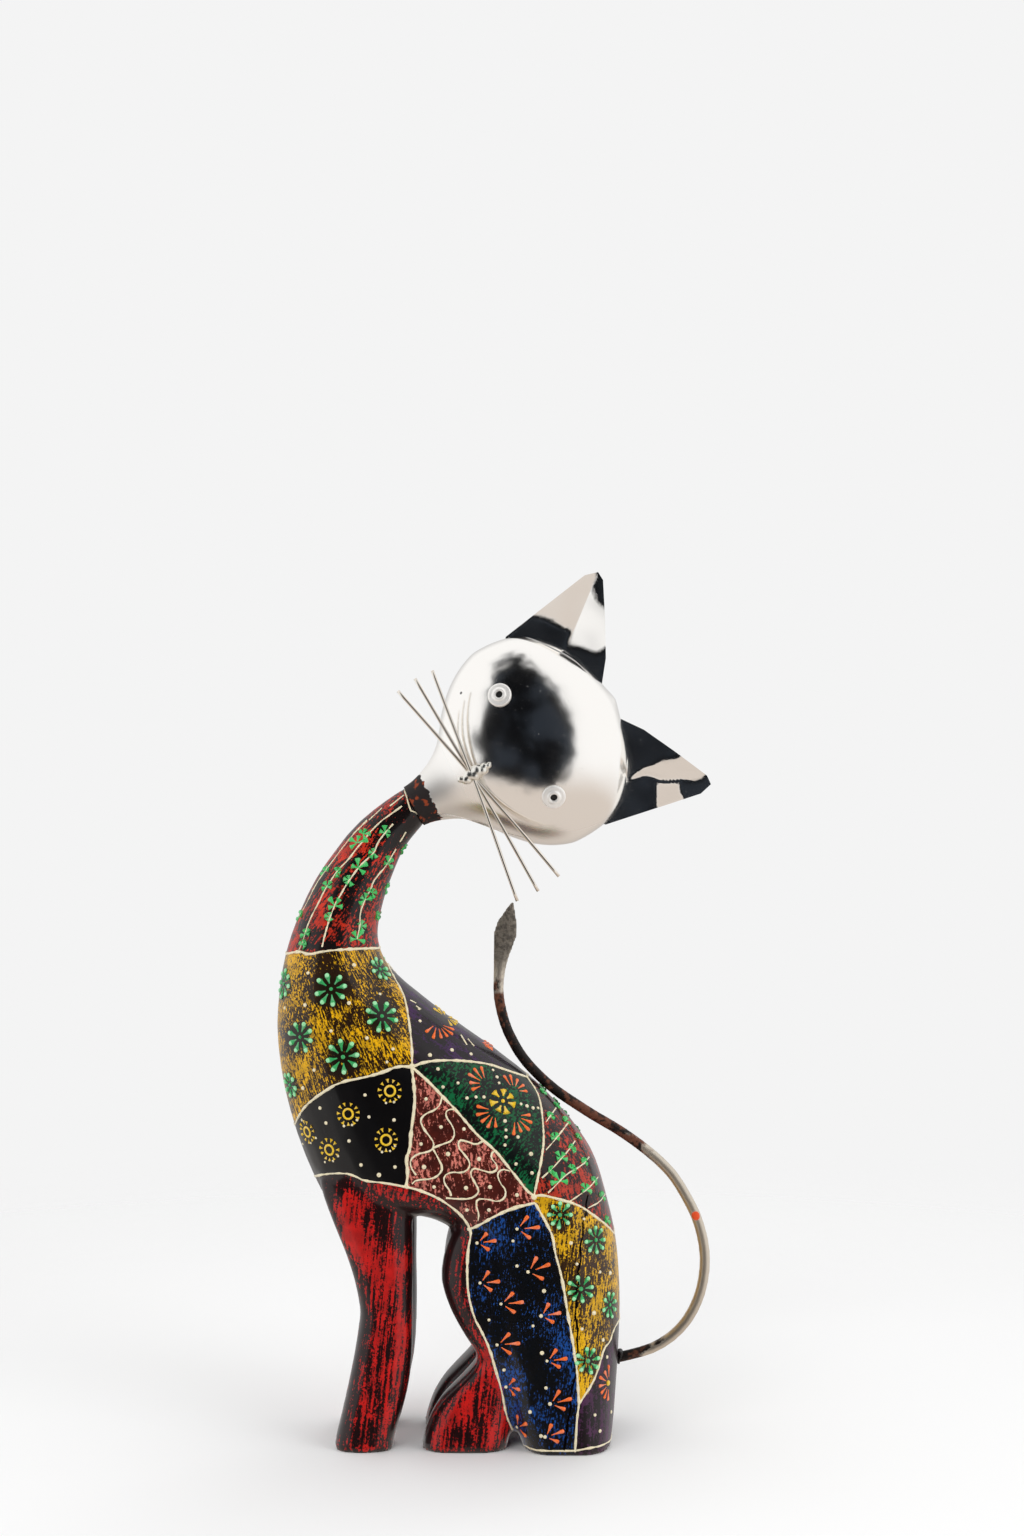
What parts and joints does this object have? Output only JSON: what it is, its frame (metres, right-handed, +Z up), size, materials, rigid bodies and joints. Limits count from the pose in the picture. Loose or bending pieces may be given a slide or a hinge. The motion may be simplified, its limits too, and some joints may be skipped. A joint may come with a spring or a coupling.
{
  "type": "seated cat figurine",
  "caption": "Seated cat ornament with a carved, patchwork-painted wooden body, a plated sheet-metal head turned sideways, wire whiskers and a curled metal rod tail.",
  "frame": {"origin": "middle of the whole figurine's box, on the surface that it stands on", "axes": "+Z up, +X from the chest to the back and tail, the face looks out along -Y"},
  "size_m": [0.2016, 0.08, 0.4],
  "materials": {
    "painted_wood": "hand-painted patches with raised cream outlines under gloss varnish",
    "plated_metal": "bright plated sheet metal with small dents",
    "wire": "drawn steel wire, dull",
    "solder": "lumpy silver solder",
    "tail_rod": "worn plating with brown-black patina"
  },
  "bodies": {
    "root": {"carved_body": "painted_wood", "tail": "tail_rod", "head_shell": "plated_metal", "ear_upper": "plated_metal", "ear_lower": "plated_metal", "eye_upper": "plated_metal", "eye_lower": "plated_metal", "whisker_1": "wire", "whisker_2": "wire", "whisker_3": "wire", "nose_solder": "solder"}
  },
  "joints": []
}
